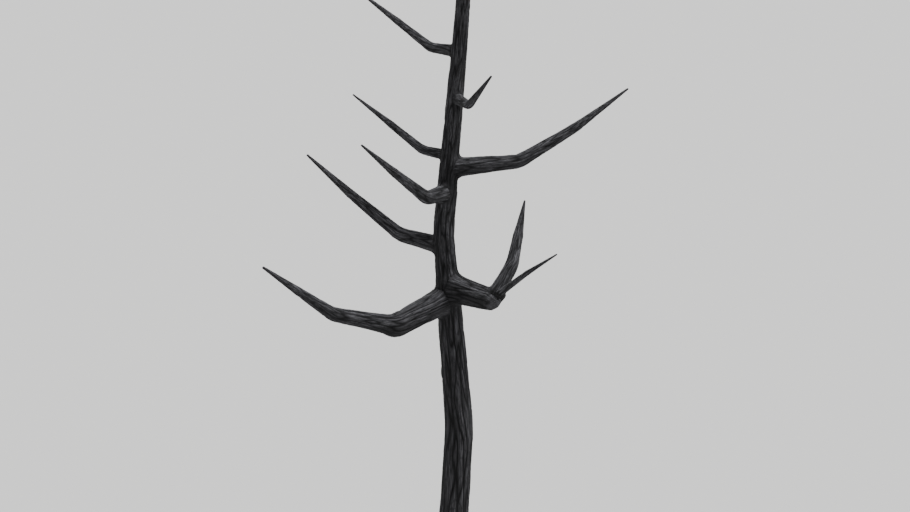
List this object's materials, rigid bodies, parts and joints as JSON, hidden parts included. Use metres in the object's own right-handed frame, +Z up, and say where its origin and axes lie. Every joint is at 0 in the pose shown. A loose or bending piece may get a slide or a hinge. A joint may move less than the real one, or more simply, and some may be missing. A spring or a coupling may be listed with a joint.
{
  "type": "dead tree",
  "caption": "Bare dead tree: a slender leaning trunk with a root flare and tapering, elbowed boughs up to a pointed leader, with no twigs or leaves.",
  "frame": {"origin": "the middle of the flat cut under the trunk, at ground level", "axes": "+Z up along the tree's height, -Y towards the side the tree is seen from, +X to the right of that side"},
  "size_m": [3.5116, 2.2439, 9.9],
  "materials": {
    "trunk_wood": "weathered dark grey dead wood and thin bark, dry and matt, with long grain ridges and drying cracks",
    "bough_wood": "weathered dark grey dead wood, dry and matt, a little paler and smoother than the trunk"
  },
  "bodies": {
    "root": {"trunk": "trunk_wood", "low_left_bough": "bough_wood", "low_right_bough": "bough_wood", "mid_left_bough": "bough_wood", "front_left_bough": "bough_wood", "mid_right_bough": "bough_wood", "rear_left_bough": "bough_wood", "front_right_bough": "bough_wood", "high_left_bough": "bough_wood", "low_right_riser": "bough_wood", "low_right_spur": "bough_wood", "rear_bough_1": "bough_wood", "rear_bough_2": "bough_wood", "rear_bough_3": "bough_wood", "upper_bough_1": "bough_wood", "upper_bough_2": "bough_wood", "upper_bough_3": "bough_wood", "upper_bough_4": "bough_wood", "upper_bough_5": "bough_wood", "upper_bough_6": "bough_wood", "upper_bough_7": "bough_wood", "upper_bough_8": "bough_wood"}
  },
  "joints": []
}
